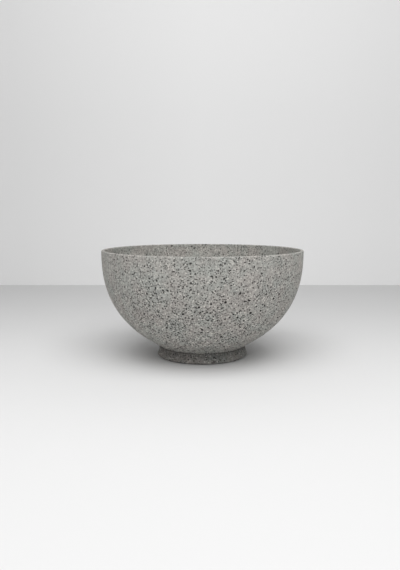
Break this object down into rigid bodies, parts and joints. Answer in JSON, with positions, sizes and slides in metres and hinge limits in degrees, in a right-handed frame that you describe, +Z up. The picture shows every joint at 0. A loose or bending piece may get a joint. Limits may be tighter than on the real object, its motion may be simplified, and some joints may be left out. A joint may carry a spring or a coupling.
{
  "type": "bowl planter",
  "caption": "Wide round concrete bowl planter with a short straight rim band, thin curved wall, flared foot ring on rubber pads and a rubber drain plug that lifts out.",
  "frame": {"origin": "on the floor under the middle of the bowl, level with the undersides of the foot pads", "axes": "+Z up along the bowl's axis of revolution; +X to the right in the picture, -Y towards the camera"},
  "size_m": [0.6, 0.6, 0.32],
  "materials": {
    "cast_concrete": "matt grey fibre-reinforced concrete with many small open air pits and faint warm and cool mottling",
    "foot_concrete": "the same pitted concrete, cast separately, a little darker",
    "mortar": "matt cement mortar, raked back from the joint",
    "plug_rubber": "moulded black rubber, satin",
    "pad_rubber": "moulded black rubber, matt"
  },
  "bodies": {
    "planter": {"bowl_shell": "cast_concrete", "mortar_bed": "mortar", "foot_ring": "foot_concrete", "foot_pad_1": "pad_rubber", "foot_pad_2": "pad_rubber", "foot_pad_3": "pad_rubber", "foot_pad_4": "pad_rubber"},
    "plug": {"drain_plug": "plug_rubber"}
  },
  "joints": [
    {"name": "plug_lift", "type": "slide", "parent": "planter", "child": "plug", "axis": [0, 0, 1], "range_m": [0, 0.3]}
  ]
}
